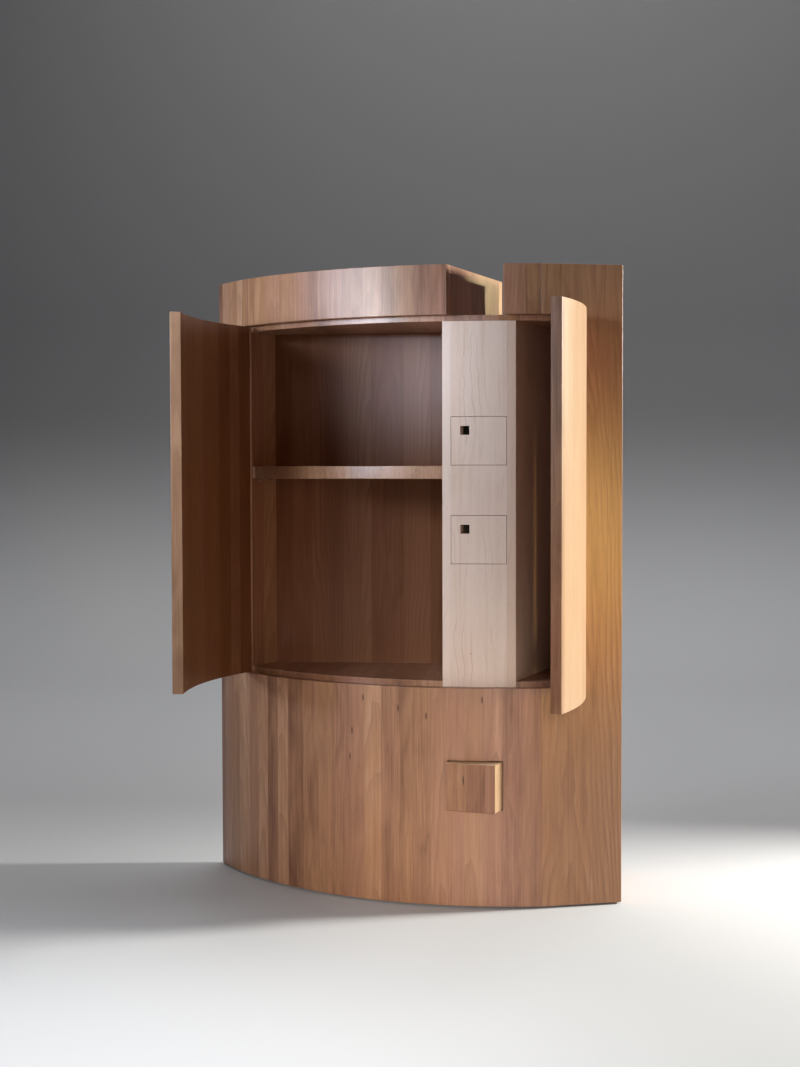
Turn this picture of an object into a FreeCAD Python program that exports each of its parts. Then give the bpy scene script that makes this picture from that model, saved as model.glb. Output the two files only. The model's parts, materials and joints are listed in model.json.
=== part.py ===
import FreeCAD, Part
import math
import os

# Free-standing cabinet with a bowed front, a flat right flank, two doors and three drawers.
# Lengths are in millimetres and angles in degrees. Z is up and the front looks toward -Y.
# The origin lies on the floor, in the middle of the width and of the depth.
# Plan positions are written as (across, depth): across from the left end, depth forward from the back face.

# Plan of the case
cabinet_width = 646.0
front_radius = 510.0
bow_start_angle = 58.97
left_return = 12.0
flank_share = 0.1837
flank_bend = 7.6
shell_thickness = 17.5
back_thickness = 14.0

# Heights of the case
cabinet_height = 950.0
foot_gap = 3.0
base_thickness = 20.0
ledge_height = 327.0
crown_height = 73.5
stop_height = 8.5
floor_thickness = 18.0
cap_thickness = 9.0
cap_recess = 3.0

# Slanted slab that holds the channel, the column and all the drawers
slab_width = 80.0
slab_skew = 15.5
slab_share = 0.6649
wall_thickness = 12.5

# Shelf and lining of the left bay
post_angle = 9.67
lining_angle = 27.0
lining_thickness = 12.0
shelf_share = 0.5634
shelf_thickness = 19.5
shelf_setback = 1.0
shelf_end_gap = 0.25
shelf_pin_radius = 2.5
shelf_pin_hold = 8.0
shelf_pin_reach = 9.0
shelf_pin_setback = 32.0

# Doors
door_thickness = 16.0
door_gap = 1.5
right_jamb_share = 0.4413
left_open_angle = 67.0
right_open_angle = 85.5

# Butt hinges
hinge_gap = 1.6
hinge_height = 32.0
hinge_inset = 47.0
pin_proud = 3.0
pin_radius = 1.2
pin_tip = 1.0
barrel_radius = 2.5
barrel_wall_gap = 0.3
knuckle_gap = 0.4
turning_gap = 0.3
leaf_width = 11.0
leaf_thickness = 1.3
leaf_gap = 0.8
screw_head_radius = 2.2
screw_radius = 1.0
screw_head_depth = 1.0
screw_length = 9.0

# Column with two flush drawers
column_panel_thickness = 13.0
drawer_height = 71.0
upper_drawer_share = 0.6023
middle_drawer_share = 0.3281
front_gap = 0.6
drawer_rest_gap = 0.3
bearer_thickness = 9.0
finger_hole = 13.0
finger_hole_inset = 13.5

# Drawer boxes
box_wall = 7.0
box_drop = 9.0
box_bottom_thickness = 4.0
box_bottom_lift = 3.0
column_box_rear_gap = 33.0

# Block drawer in the lower front
block_share = 0.4517
block_gap = 1.0
block_proud = 13.0
block_length = 62.0
block_box_rear_gap = 64.0
tunnel_thickness = 12.0

Vector = FreeCAD.Vector
UP = Vector(0, 0, 1)

# Derived plan values
bow_start = math.radians(bow_start_angle)
bow_centre_across = front_radius * math.sin(bow_start)
bow_centre_depth = left_return - front_radius * math.cos(bow_start)
cabinet_depth = bow_centre_depth + front_radius
left_jamb_angle = bow_start_angle - post_angle
corner_across = cabinet_width * (1 - flank_share)
flank_corner_angle = math.degrees(math.asin((corner_across - bow_centre_across) / front_radius))
flank_slope = flank_corner_angle + flank_bend
slope = math.radians(flank_slope)
flank_reach = front_radius * math.cos(math.radians(flank_bend))
flank_length = (cabinet_width - corner_across) / math.cos(slope)
right_jamb_along = flank_length * right_jamb_share
side_inner = cabinet_width - shell_thickness
slab_crossing = cabinet_width * slab_share
slab_half = slab_width / 2
column_half = slab_half + wall_thickness
slab_angle = math.degrees(math.asin((slab_crossing - bow_centre_across) / front_radius))
skew = math.radians(slab_skew)
reach = cabinet_width + cabinet_depth

# Derived heights
crown_bottom = cabinet_height - crown_height
floor_top = ledge_height + stop_height
floor_bottom = floor_top - floor_thickness
bay_top = crown_bottom - stop_height
door_bottom = ledge_height + door_gap
door_top = crown_bottom - door_gap
bay_height = bay_top - floor_top
shelf_bottom = floor_top + bay_height * shelf_share
upper_drawer_bottom = floor_top + bay_height * upper_drawer_share
middle_drawer_bottom = floor_top + bay_height * middle_drawer_share
block_bottom = ledge_height * block_share
panel_inset = shell_thickness + column_panel_thickness


def at(spot, height=0.0):
    across, depth = spot
    return Vector(across - cabinet_width / 2, cabinet_depth / 2 - depth, height)


def on_bow(radius, angle):
    turn = math.radians(angle)
    return (bow_centre_across + radius * math.sin(turn), bow_centre_depth + radius * math.cos(turn))


def bow_angle_at_depth(radius, depth):
    return -math.degrees(math.acos((depth - bow_centre_depth) / radius))


def corner_angle(inset):
    """Angle on the bow, moved in by inset, where the flat flank begins."""
    return flank_slope - math.degrees(math.acos((flank_reach - inset) / (front_radius - inset)))


def corner_spot(inset):
    return on_bow(front_radius - inset, corner_angle(inset))


def on_flank(inset, along):
    """Spot on the flank, along from its outer corner and inset behind its face."""
    across, depth = corner_spot(0.0)
    across += along * math.cos(slope) - inset * math.sin(slope)
    depth -= along * math.sin(slope) + inset * math.cos(slope)
    return (across, depth)


def flank_spot(across, inset):
    """Spot on the flank at a given distance across."""
    beyond = (across - bow_centre_across) * math.sin(slope)
    return (across, bow_centre_depth + (flank_reach - inset - beyond) / math.cos(slope))


def in_slab(right, inward):
    """Spot in the slab: right of its middle line, and inward along it from the front."""
    across = slab_crossing + right * math.cos(skew) + inward * math.sin(skew)
    depth = cabinet_depth + right * math.sin(skew) - inward * math.cos(skew)
    return (across, depth)


def line(start, end):
    return Part.makeLine(at(start), at(end))


def bow(radius, start, end):
    spots = [on_bow(radius, angle) for angle in (start, (start + end) / 2, end)]
    return Part.Arc(*[at(spot) for spot in spots]).toShape()


def raised(edges, bottom, top):
    wire = Part.Wire(Part.__sortEdges__(edges))
    face = Part.Face(wire)
    face.translate(UP * bottom)
    return face.extrude(UP * (top - bottom))


def block(spots, bottom, top):
    ring = spots[1:] + spots[:1]
    return raised([line(start, end) for start, end in zip(spots, ring)], bottom, top)


def slab_block(left, right, front, back, bottom, top):
    spots = [in_slab(left, front), in_slab(right, front), in_slab(right, back), in_slab(left, back)]
    return block(spots, bottom, top)


def inside(inset, bottom, top):
    """Room between the back panel and the bow moved in by inset."""
    radius = front_radius - inset
    start = bow_angle_at_depth(radius, back_thickness)
    corner = corner_spot(inset)
    right_front = flank_spot(side_inner, inset)
    right_back = (side_inner, back_thickness)
    edges = [
        bow(radius, start, corner_angle(inset)),
        line(corner, right_front),
        line(right_front, right_back),
        line(right_back, on_bow(radius, start)),
    ]
    return raised(edges, bottom, top)


def front_band(thickness, start, end, bottom, top):
    """Piece of the bowed front with radial ends."""
    inner = front_radius - thickness
    edges = [
        bow(front_radius, start, end),
        line(on_bow(front_radius, end), on_bow(inner, end)),
        bow(inner, end, start),
        line(on_bow(inner, start), on_bow(front_radius, start)),
    ]
    return raised(edges, bottom, top)


def front_band_to_corner(thickness, start, bottom, top):
    """Piece of the bowed front from a radial end to the flank's corner."""
    inner = front_radius - thickness
    edges = [
        bow(front_radius, start, corner_angle(0.0)),
        line(corner_spot(0.0), corner_spot(thickness)),
        bow(inner, corner_angle(thickness), start),
        line(on_bow(inner, start), on_bow(front_radius, start)),
    ]
    return raised(edges, bottom, top)


def column_ring(bottom, top):
    """Curved layer, one column panel thick, just behind the closed doors."""
    return inside(shell_thickness, bottom, top).cut(inside(panel_inset, bottom, top))


def whole_slab(half, bottom, top):
    return slab_block(-half, half, -reach, reach, bottom, top)


def left_of_slab(half, bottom, top):
    return slab_block(-reach, -half, -reach, reach, bottom, top)


def right_of_slab(half, bottom, top):
    return slab_block(half, reach, -reach, reach, bottom, top)


def save(name, shape):
    shape.exportStep("parts/" + name + ".step")


os.makedirs("parts", exist_ok=True)

# Base, floor and top
base_panel = inside(shell_thickness, 0.0, base_thickness)
save("base_panel", base_panel)

column_foot = whole_slab(column_half, ledge_height, floor_top).common(column_ring(ledge_height, floor_top))
floor_panel = inside(shell_thickness, floor_bottom, floor_top).cut(column_foot)
save("floor_panel", floor_panel)

top_panel = inside(shell_thickness, bay_top, crown_bottom)
save("top_panel", top_panel)

# Back, right side and right flank
post_inner_end = bow_angle_at_depth(front_radius - shell_thickness, back_thickness)
post_inner_spot = on_bow(front_radius - shell_thickness, post_inner_end)
back_left = post_inner_spot[0]


def back_board(bottom, top):
    spots = [(back_left, 0.0), (side_inner, 0.0), (side_inner, back_thickness), (back_left, back_thickness)]
    return block(spots, bottom, top)


save("back_panel", back_board(foot_gap, crown_bottom))

side_spots = [
    (side_inner, 0.0),
    (cabinet_width, 0.0),
    flank_spot(cabinet_width, shell_thickness),
    flank_spot(side_inner, shell_thickness),
]
save("right_side", block(side_spots, foot_gap, cabinet_height))

flank_spots = [
    corner_spot(0.0),
    flank_spot(cabinet_width, 0.0),
    flank_spot(cabinet_width, shell_thickness),
    corner_spot(shell_thickness),
]
notch_spots = [
    on_flank(-shell_thickness, -shell_thickness),
    on_flank(-shell_thickness, right_jamb_along),
    on_flank(2 * shell_thickness, right_jamb_along),
    on_flank(2 * shell_thickness, -shell_thickness),
]
right_flank = block(flank_spots, foot_gap, cabinet_height)
right_flank = right_flank.cut(block(notch_spots, ledge_height, crown_bottom))

# Left post
post_edges = [
    line((0.0, 0.0), (0.0, left_return)),
    bow(front_radius, -bow_start_angle, -left_jamb_angle),
    line(on_bow(front_radius, -left_jamb_angle), on_bow(front_radius - shell_thickness, -left_jamb_angle)),
    bow(front_radius - shell_thickness, -left_jamb_angle, post_inner_end),
    line(post_inner_spot, (back_left, 0.0)),
    line((back_left, 0.0), (0.0, 0.0)),
]
left_post = raised(post_edges, foot_gap, cabinet_height)

# Lower front with the hole for the block drawer
block_top = block_bottom + drawer_height
hole_bottom = block_bottom - block_gap
hole_top = block_top + block_gap
lower_front = front_band_to_corner(shell_thickness, -left_jamb_angle, foot_gap, ledge_height)
lower_front = lower_front.cut(whole_slab(slab_half, hole_bottom, hole_top))
save("lower_front", lower_front)

# Crown: two raised boxes with the open channel between them
channel = whole_slab(slab_half, crown_bottom, cabinet_height)
fascia_left = front_band(shell_thickness, -left_jamb_angle, slab_angle, crown_bottom, cabinet_height)
save("crown_fascia_left", fascia_left.cut(channel))
fascia_right = front_band_to_corner(shell_thickness, slab_angle, crown_bottom, cabinet_height)
save("crown_fascia_right", fascia_right.cut(channel))

crown_room = inside(shell_thickness, crown_bottom, cabinet_height)
cheek_left = slab_block(-column_half, -slab_half, -reach, reach, crown_bottom, cabinet_height)
save("crown_cheek_left", cheek_left.common(crown_room))
cheek_right = slab_block(slab_half, column_half, -reach, reach, crown_bottom, cabinet_height)
save("crown_cheek_right", cheek_right.common(crown_room))

crown_back = back_board(crown_bottom, cabinet_height)
save("crown_back_left", crown_back.common(left_of_slab(slab_half, crown_bottom, cabinet_height)))
save("crown_back_right", crown_back.common(right_of_slab(slab_half, crown_bottom, cabinet_height)))

cap_top = cabinet_height - cap_recess
cap_bottom = cap_top - cap_thickness
cap = inside(shell_thickness, cap_bottom, cap_top)
save("crown_cap_left", cap.common(left_of_slab(column_half, cap_bottom, cap_top)))
save("crown_cap_right", cap.common(right_of_slab(column_half, cap_bottom, cap_top)))

# Lining and shelf of the left bay
lean = math.radians(lining_angle)
lining_start = on_bow(front_radius - shell_thickness, -left_jamb_angle)


def lining_spot(along, left):
    across = lining_start[0] + along * math.sin(lean) - left * math.cos(lean)
    depth = lining_start[1] - along * math.cos(lean) - left * math.sin(lean)
    return (across, depth)


def beside_lining(near, far, bottom, top):
    """Strip along the lining's face, from near to far on its left side."""
    spots = [
        lining_spot(-reach, near),
        lining_spot(reach, near),
        lining_spot(reach, far),
        lining_spot(-reach, far),
    ]
    return block(spots, bottom, top)


bay_room = inside(shell_thickness, floor_top, bay_top)
left_lining = beside_lining(0.0, lining_thickness, floor_top, bay_top).common(bay_room)

shelf_top = shelf_bottom + shelf_thickness
shelf = inside(shell_thickness + shelf_setback, shelf_bottom, shelf_top)
shelf = shelf.common(left_of_slab(column_half + shelf_end_gap, shelf_bottom, shelf_top))
shelf = shelf.cut(beside_lining(-shelf_end_gap, reach, shelf_bottom, shelf_top))
save("shelf", shelf)

# Column sides, panels and drawer bearers
column_room = bay_room.fuse(column_ring(ledge_height, floor_top)).removeSplitter()


def column_side(left, right):
    side = slab_block(left, right, -reach, reach, ledge_height, bay_top)
    return side.common(column_room)


column_side_left = column_side(-column_half, -slab_half)
save("column_side_right", column_side(slab_half, column_half))


def column_panel(bottom, top):
    return whole_slab(slab_half, bottom, top).common(column_ring(bottom, top))


upper_drawer_top = upper_drawer_bottom + drawer_height
middle_drawer_top = middle_drawer_bottom + drawer_height
save("column_panel_top", column_panel(upper_drawer_top + front_gap, bay_top))
save("column_panel_middle", column_panel(middle_drawer_top + front_gap, upper_drawer_bottom - front_gap))
save("column_panel_bottom", column_panel(ledge_height, middle_drawer_bottom - front_gap))

for name, drawer_bottom in (("upper", upper_drawer_bottom), ("middle", middle_drawer_bottom)):
    bearer_top = drawer_bottom - drawer_rest_gap
    bearer_bottom = bearer_top - bearer_thickness
    bearer = whole_slab(slab_half, bearer_bottom, bearer_top)
    save("column_bearer_" + name, bearer.common(inside(panel_inset, bearer_bottom, bearer_top)))

# Shelf pins: two in the lining and two in the column's left side
pin_height = shelf_bottom - shelf_pin_radius
lining_length = (lining_start[1] - back_thickness) / math.cos(lean)
shelf_pins = []
for along in (shelf_pin_setback / 2, lining_length - shelf_pin_setback / 2):
    start = at(lining_spot(along, shelf_pin_hold), pin_height)
    end = at(lining_spot(along, -shelf_pin_reach), pin_height)
    shelf_pins.append(Part.makeCylinder(shelf_pin_radius, start.distanceToPoint(end), start, end - start))

column_front_inward = shell_thickness / math.cos(skew)
column_back_inward = (cabinet_depth - back_thickness) / math.cos(skew)
for inward in (column_front_inward + 2 * shelf_pin_setback, column_back_inward - 2 * shelf_pin_setback):
    start = at(in_slab(shelf_pin_hold - column_half, inward), pin_height)
    end = at(in_slab(-shelf_pin_reach - column_half, inward), pin_height)
    shelf_pins.append(Part.makeCylinder(shelf_pin_radius, start.distanceToPoint(end), start, end - start))

save("shelf_pins", Part.makeCompound(shelf_pins))
for pin in shelf_pins:
    left_lining = left_lining.cut(pin)
    column_side_left = column_side_left.cut(pin)
save("left_lining", left_lining)
save("column_side_left", column_side_left)

# Doors, built closed
hinge_turn = math.degrees(hinge_gap / front_radius)
door_face = front_radius * math.radians(left_jamb_angle + flank_corner_angle) + right_jamb_along
meeting_angle = math.degrees(door_face / 2 / front_radius) - left_jamb_angle
meeting_turn = math.degrees(door_gap / 2 / front_radius)

left_hinge_angle = hinge_turn - left_jamb_angle
left_door = front_band(door_thickness, left_hinge_angle, meeting_angle - meeting_turn, door_bottom, door_top)

right_hinge_along = right_jamb_along - hinge_gap
right_start = meeting_angle + meeting_turn
door_inner = front_radius - door_thickness
right_door_edges = [
    bow(front_radius, right_start, corner_angle(0.0)),
    line(corner_spot(0.0), on_flank(0.0, right_hinge_along)),
    line(on_flank(0.0, right_hinge_along), on_flank(door_thickness, right_hinge_along)),
    line(on_flank(door_thickness, right_hinge_along), corner_spot(door_thickness)),
    bow(door_inner, corner_angle(door_thickness), right_start),
    line(on_bow(door_inner, right_start), on_bow(front_radius, right_start)),
]
right_door = raised(right_door_edges, door_bottom, door_top)

# Hinge places: the pin's spot, the way out of the face and the way from the frame to the door
left_pin_angle = left_hinge_angle - hinge_turn / 2
left_turn = math.radians(left_pin_angle)
left_hinge = {
    "pin": on_bow(front_radius + pin_proud, left_pin_angle),
    "out": (math.sin(left_turn), math.cos(left_turn)),
    "door": (math.cos(left_turn), -math.sin(left_turn)),
}
right_hinge = {
    "pin": on_flank(-pin_proud, right_jamb_along - hinge_gap / 2),
    "out": (math.sin(slope), math.cos(slope)),
    "door": (-math.cos(slope), math.sin(slope)),
}
hinge_middles = (door_bottom + hinge_inset, door_top - hinge_inset)
knuckle_height = (hinge_height - 2 * knuckle_gap) / 3


def hinge_spot(hinge, toward_door, outward):
    across, depth = hinge["pin"]
    across += toward_door * hinge["door"][0] + outward * hinge["out"][0]
    depth += toward_door * hinge["door"][1] + outward * hinge["out"][1]
    return (across, depth)


def hinge_bar(hinge, side, near, far, outer, inner, bottom, top):
    """Flat bar beside the pin; side is 1 toward the door and -1 toward the frame."""
    spots = [
        hinge_spot(hinge, side * near, outer),
        hinge_spot(hinge, side * far, outer),
        hinge_spot(hinge, side * far, inner),
        hinge_spot(hinge, side * near, inner),
    ]
    return block(spots, bottom, top)


def knuckle_bottoms(side, bottom):
    """The frame leaf carries the two outer knuckles, the door leaf the middle one."""
    step = knuckle_height + knuckle_gap
    if side > 0:
        return [bottom + step]
    return [bottom, bottom + 2 * step]


def hinge_leaf(hinge, side, middle):
    near = leaf_gap / 2
    far = near + leaf_thickness
    bottom = middle - hinge_height / 2
    top = middle + hinge_height / 2
    shoulder = -(barrel_radius + barrel_wall_gap)
    leaf = hinge_bar(hinge, side, near, far, shoulder, -(pin_proud + leaf_width), bottom, top)
    bore_radius = pin_radius
    if side > 0:
        bore_radius = pin_radius + turning_gap
    for low in knuckle_bottoms(side, bottom):
        high = low + knuckle_height
        leaf = leaf.fuse(hinge_bar(hinge, side, near, far, 0.0, shoulder, low, high))
        leaf = leaf.fuse(Part.makeCylinder(barrel_radius, knuckle_height, at(hinge["pin"], low)))
    bore = Part.makeCylinder(bore_radius, hinge_height, at(hinge["pin"], bottom))
    return leaf.cut(bore).removeSplitter()


def hinge_pin(hinge, middle):
    length = hinge_height + 2 * pin_tip
    return Part.makeCylinder(pin_radius, length, at(hinge["pin"], middle - length / 2))


def hinge_screws(hinge, side, middle):
    screws = []
    outward = -(pin_proud + leaf_width / 2)
    for height in (middle - hinge_height / 4, middle + hinge_height / 4):
        start = at(hinge_spot(hinge, side * leaf_gap / 2, outward), height)
        end = at(hinge_spot(hinge, side * (leaf_gap / 2 + screw_length), outward), height)
        head = Part.makeCone(screw_head_radius, screw_radius, screw_head_depth, start, end - start)
        shank = Part.makeCylinder(screw_radius, screw_length, start, end - start)
        screws.append(head.fuse(shank).removeSplitter())
    return screws


def cut_all(shape, tools):
    for tool in tools:
        shape = shape.cut(tool)
    return shape


def fit_hinges(hinge, frame, door):
    """Leaves, pins and screws of one door, with frame and door cut to take them."""
    fittings = {"frame_leaves": [], "door_leaves": [], "pins": [], "frame_screws": [], "door_screws": []}
    for middle in hinge_middles:
        frame_leaf = hinge_leaf(hinge, -1, middle)
        door_leaf = hinge_leaf(hinge, 1, middle)
        frame_screws = hinge_screws(hinge, -1, middle)
        door_screws = hinge_screws(hinge, 1, middle)
        frame = cut_all(frame, [frame_leaf] + frame_screws)
        door = cut_all(door, [door_leaf] + door_screws)
        fittings["frame_leaves"].append(cut_all(frame_leaf, frame_screws))
        fittings["door_leaves"].append(cut_all(door_leaf, door_screws))
        fittings["pins"].append(hinge_pin(hinge, middle))
        fittings["frame_screws"] += frame_screws
        fittings["door_screws"] += door_screws
    return frame, door, fittings


left_post, left_door, left_fittings = fit_hinges(left_hinge, left_post, left_door)
right_flank, right_door, right_fittings = fit_hinges(right_hinge, right_flank, right_door)
save("left_post", left_post)
save("right_flank", right_flank)


def save_opened(name, shape, hinge, angle):
    """Doors and what is fixed to them stand open at rest."""
    shape.rotate(at(hinge["pin"]), UP, angle)
    save(name, shape)


for side, door, hinge, fittings, angle in (
    ("left", left_door, left_hinge, left_fittings, -left_open_angle),
    ("right", right_door, right_hinge, right_fittings, right_open_angle),
):
    save_opened(side + "_door", door, hinge, angle)
    save_opened(side + "_hinge_door_leaves", Part.makeCompound(fittings["door_leaves"]), hinge, angle)
    save_opened(side + "_hinge_door_screws", Part.makeCompound(fittings["door_screws"]), hinge, angle)
    save(side + "_hinge_frame_leaves", Part.makeCompound(fittings["frame_leaves"]))
    save(side + "_hinge_pins", Part.makeCompound(fittings["pins"]))
frame_screws = left_fittings["frame_screws"] + right_fittings["frame_screws"]
save("hinge_frame_screws", Part.makeCompound(frame_screws))

# Tunnel of the block drawer, from the lower front to the back panel
tunnel_floor = block_bottom - drawer_rest_gap
tunnel_half = slab_half + tunnel_thickness


def tunnel_board(left, right, bottom, top):
    board = slab_block(left, right, -reach, reach, bottom, top)
    return board.common(inside(shell_thickness, bottom, top))


save("tunnel_bearer", tunnel_board(-tunnel_half, tunnel_half, tunnel_floor - tunnel_thickness, tunnel_floor))
save("tunnel_guide_left", tunnel_board(-tunnel_half, -slab_half, tunnel_floor, hole_top))
save("tunnel_guide_right", tunnel_board(slab_half, tunnel_half, tunnel_floor, hole_top))
save("tunnel_kicker", tunnel_board(-tunnel_half, tunnel_half, hole_top, hole_top + tunnel_thickness))


def save_drawer(name, front, half, box_front, box_back, bottom, room):
    """Front and box of one drawer; the box lies within room, behind the front."""
    top = bottom + drawer_height - box_drop
    panel_bottom = bottom + box_bottom_lift
    panel_top = panel_bottom + box_bottom_thickness
    inner = half - box_wall
    back_inner = box_back - box_wall
    save(name + "_front", front)
    save(name + "_side_left", slab_block(-half, -inner, box_front, box_back, bottom, top).common(room))
    save(name + "_side_right", slab_block(inner, half, box_front, box_back, bottom, top).common(room))
    save(name + "_back", slab_block(-inner, inner, back_inner, box_back, bottom, top))
    save(name + "_bottom", slab_block(-inner, inner, box_front, back_inner, panel_bottom, panel_top).common(room))


# Two column drawers, with a square finger hole near the upper left corner of each front
front_half = slab_half - front_gap
box_back = column_back_inward - column_box_rear_gap
for name, drawer_bottom in (("upper_drawer", upper_drawer_bottom), ("middle_drawer", middle_drawer_bottom)):
    drawer_top = drawer_bottom + drawer_height
    front = whole_slab(front_half, drawer_bottom, drawer_top).common(column_ring(drawer_bottom, drawer_top))
    hole_left = finger_hole_inset - front_half
    hole_high = drawer_top - finger_hole_inset
    finger = slab_block(hole_left, hole_left + finger_hole, -reach, reach, hole_high - finger_hole, hole_high)
    room = inside(panel_inset, drawer_bottom, drawer_top)
    save_drawer(name, front.cut(finger), front_half, -slab_width, box_back, drawer_bottom, room)

# Block drawer, whose front stands out of the lower front
block_half = slab_half - block_gap
bow_at_left = math.sqrt(front_radius ** 2 - (in_slab(-block_half, 0.0)[0] - bow_centre_across) ** 2)
left_face_depth = bow_centre_depth + bow_at_left + block_proud * math.cos(skew)
block_face = (in_slab(-block_half, 0.0)[1] - left_face_depth) / math.cos(skew)
block_back = block_face + block_length
block_box_back = column_back_inward - block_box_rear_gap
block_front = slab_block(-block_half, block_half, block_face, block_back, block_bottom, block_top)
block_room = inside(shell_thickness, block_bottom, block_top)
save_drawer(
    "block_drawer", block_front, block_half, block_back, block_box_back, block_bottom, block_room
)
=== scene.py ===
import json
import math
import random
from collections import namedtuple

import bmesh
import bpy
from bpy.props import FloatProperty, FloatVectorProperty, PointerProperty
from mathutils import Matrix, Vector


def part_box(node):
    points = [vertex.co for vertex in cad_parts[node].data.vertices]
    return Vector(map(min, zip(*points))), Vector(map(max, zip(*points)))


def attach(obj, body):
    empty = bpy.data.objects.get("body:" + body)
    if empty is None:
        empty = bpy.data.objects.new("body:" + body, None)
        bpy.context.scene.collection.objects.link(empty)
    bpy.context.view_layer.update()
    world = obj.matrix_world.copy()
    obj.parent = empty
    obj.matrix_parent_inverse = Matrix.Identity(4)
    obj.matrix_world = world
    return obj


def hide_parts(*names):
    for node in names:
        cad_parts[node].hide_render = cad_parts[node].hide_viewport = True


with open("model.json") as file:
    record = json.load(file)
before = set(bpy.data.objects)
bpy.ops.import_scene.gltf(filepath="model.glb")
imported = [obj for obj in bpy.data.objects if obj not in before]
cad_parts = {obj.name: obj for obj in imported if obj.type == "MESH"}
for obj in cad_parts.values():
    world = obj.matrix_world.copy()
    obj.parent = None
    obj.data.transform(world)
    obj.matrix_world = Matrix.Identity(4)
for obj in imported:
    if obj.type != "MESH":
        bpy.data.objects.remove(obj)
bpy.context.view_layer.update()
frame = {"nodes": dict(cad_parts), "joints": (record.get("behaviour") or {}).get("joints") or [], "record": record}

bl_info = {
    "name": "Bow-fronted cabinet",
    "version": (1, 0, 0),
    "blender": (4, 5, 0),
    "location": "3D View > Sidebar > Cabinet",
    "description": "Eased boards, wood and metal finishes and a small studio for a bow-fronted cabinet",
    "category": "Object",
}

JOINTS = {joint["name"]: joint for joint in frame["joints"]}
BODIES = {node: body for body, nodes in frame["record"]["behaviour"]["bodies"].items() for node in nodes}

# How meshes are merged, eased and shaded, in metres and radians
SAME_SPOT = 0.00001
TINY_EDGE = 0.000001
STILL_FLAT = math.radians(0.3)
SHARP_EDGE = math.radians(30)
SHARP_SHADE = math.radians(40)
HINGE_ROOM = Vector((0.012, 0.012, 0.003))

# Glue joints of the bowed fronts, in degrees about the bow's axis
LOWER_JOINTS = (
    -64, -60.4, -57.3, -54.2, -51.0, -47.4, -44.6, -41.8, -39.1, -36.4, -32.8, -29.4, -25.9, -22.9, -20.2,
    -17.0, -14.1, -11.3, -8.35, -5.6, -2.6, 0.7, 3.7, 6.85, 13.0)
CROWN_JOINTS = (
    -64, -60.4, -57.3, -54.4, -51.3, -48.2, -45.0, -41.9, -38.0, -33.9, -31.2, -29.1, -27.1, -23.6, -20.1,
    -16.8, -13.3, -10.9, -8.2, -5.3, -2.0, 1.4, 4.6, 7.6, 13.0)

# Where boards and staves start and end across the grain, in metres, how far their widths differ from
# the mean, and the share of a board that its glue line takes
ONE_BOARD = (-2.0, 2.0)
SIDE_JOINTS = (-0.3, -0.062, 0.3)
CASE_REACH = (-0.4, 0.4)
LONG_REACH = (-0.5, 0.5)
DOOR_REACH = (-0.5, 0.2)
WIDTH_SPREAD = (0.72, 1.3)
GLUE_LINE = 0.018

# Small dark marks, in metres; those of the lower front as degrees about the bow's axis and a height
Mark = namedtuple("Mark", "across along half_width half_height")
LOWER_FLECKS = (
    (-20.3, 0.308), (-22.44, 0.257), (-22.85, 0.2175), (-13.9, 0.295), (-9.0, 0.2846), (0.39, 0.310))
FLECK_HALF_WIDTH = 0.0014
FLECK_HALF_HEIGHT = 0.0070
BLOCK_FLECK = Mark(0.127, 0.194, 0.0013, 0.0095)
COLUMN_KNOT = Mark(0.1263, 0.3765, 0.0011, 0.0011)

# How far boards lie apart in the figure, across, through and along the grain
PEAR_APART = (7.3, 3.1, 5.7)
MAPLE_APART = (5.1, 2.7, 4.3)

# Figure and relief of the woods
RINGS_PER_METRE = 260.0
LINES_PER_METRE = 95.0
CALM_END_GRAIN = 0.2
BUMP_STRENGTH = 0.6

# Lights, in metres: size is a disc's width or the radius of a beam's source, and cone is a beam's full
# angle in degrees, or None for a disc
Light = namedtuple("Light", "name spot target size colour cone")
LIGHTS = (
    Light("side", (2.30, 0.53, 1.06), (0.15, -0.10, 0.50), 0.40, (1.0, 0.99, 0.91), None),
    Light("front", (-0.82, -1.00, 0.94), (0.0, 0.0, 0.76), 0.15, (0.73, 0.85, 1.0), 53),
    Light("back", (0.10, 1.50, 3.40), (0.10, 2.60, 0.0), 3.40, (1.0, 0.985, 0.96), None),
    Light("left", (-1.81, -1.31, 1.02), (-0.16, -0.10, 0.86), 0.45, (0.68, 0.82, 1.0), 38),
    Light("sheen", (-0.13, -2.70, 0.92), (0.005, 0.11, 0.80), 0.08, (0.68, 0.80, 1.0), 5.6),
    Light("low", (0.30, -3.00, 0.70), (0.015, -0.13, 0.07), 0.30, (1.0, 0.93, 0.84), 14.5),
    Light("flank", (1.55, -2.00, 0.60), (0.29, -0.10, 0.48), 0.15, (1.0, 0.70, 0.22), 13),
    Light("rear", (1.26, 0.95, 1.10), (0.10, 0.07, 0.92), 0.02, (1.0, 0.80, 0.46), 7),
    Light("door", (0.60, -1.70, 0.75), (-0.36, -0.10, 0.62), 0.25, (1.0, 0.52, 0.12), 20),
    Light("floor", (-0.44, -1.10, 2.60), (-0.42, -1.08, 0.0), 0.30, (0.97, 0.98, 1.0), 42),
)
FLAGGED_LIGHT = "side"

# Floor, backdrop and flag of the studio, in metres, with the curve in so many steps
SWEEP_HALF_WIDTH = 6.0
SWEEP_FRONT = -6.0
SWEEP_BACK = 2.4
SWEEP_CURVE = 1.2
SWEEP_STEPS = 24
SWEEP_TOP = 5.0
GREY_FROM_HEIGHT = 0.9
FLAG_SIZE = (2.40, 3.40, 1.0)
FLAG_PLACE = (1.50, 2.13, 1.40)
FLAG_THICKNESS = 0.01

# Width of the camera's sensor, in millimetres
SENSOR_WIDTH = 36.0


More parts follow.
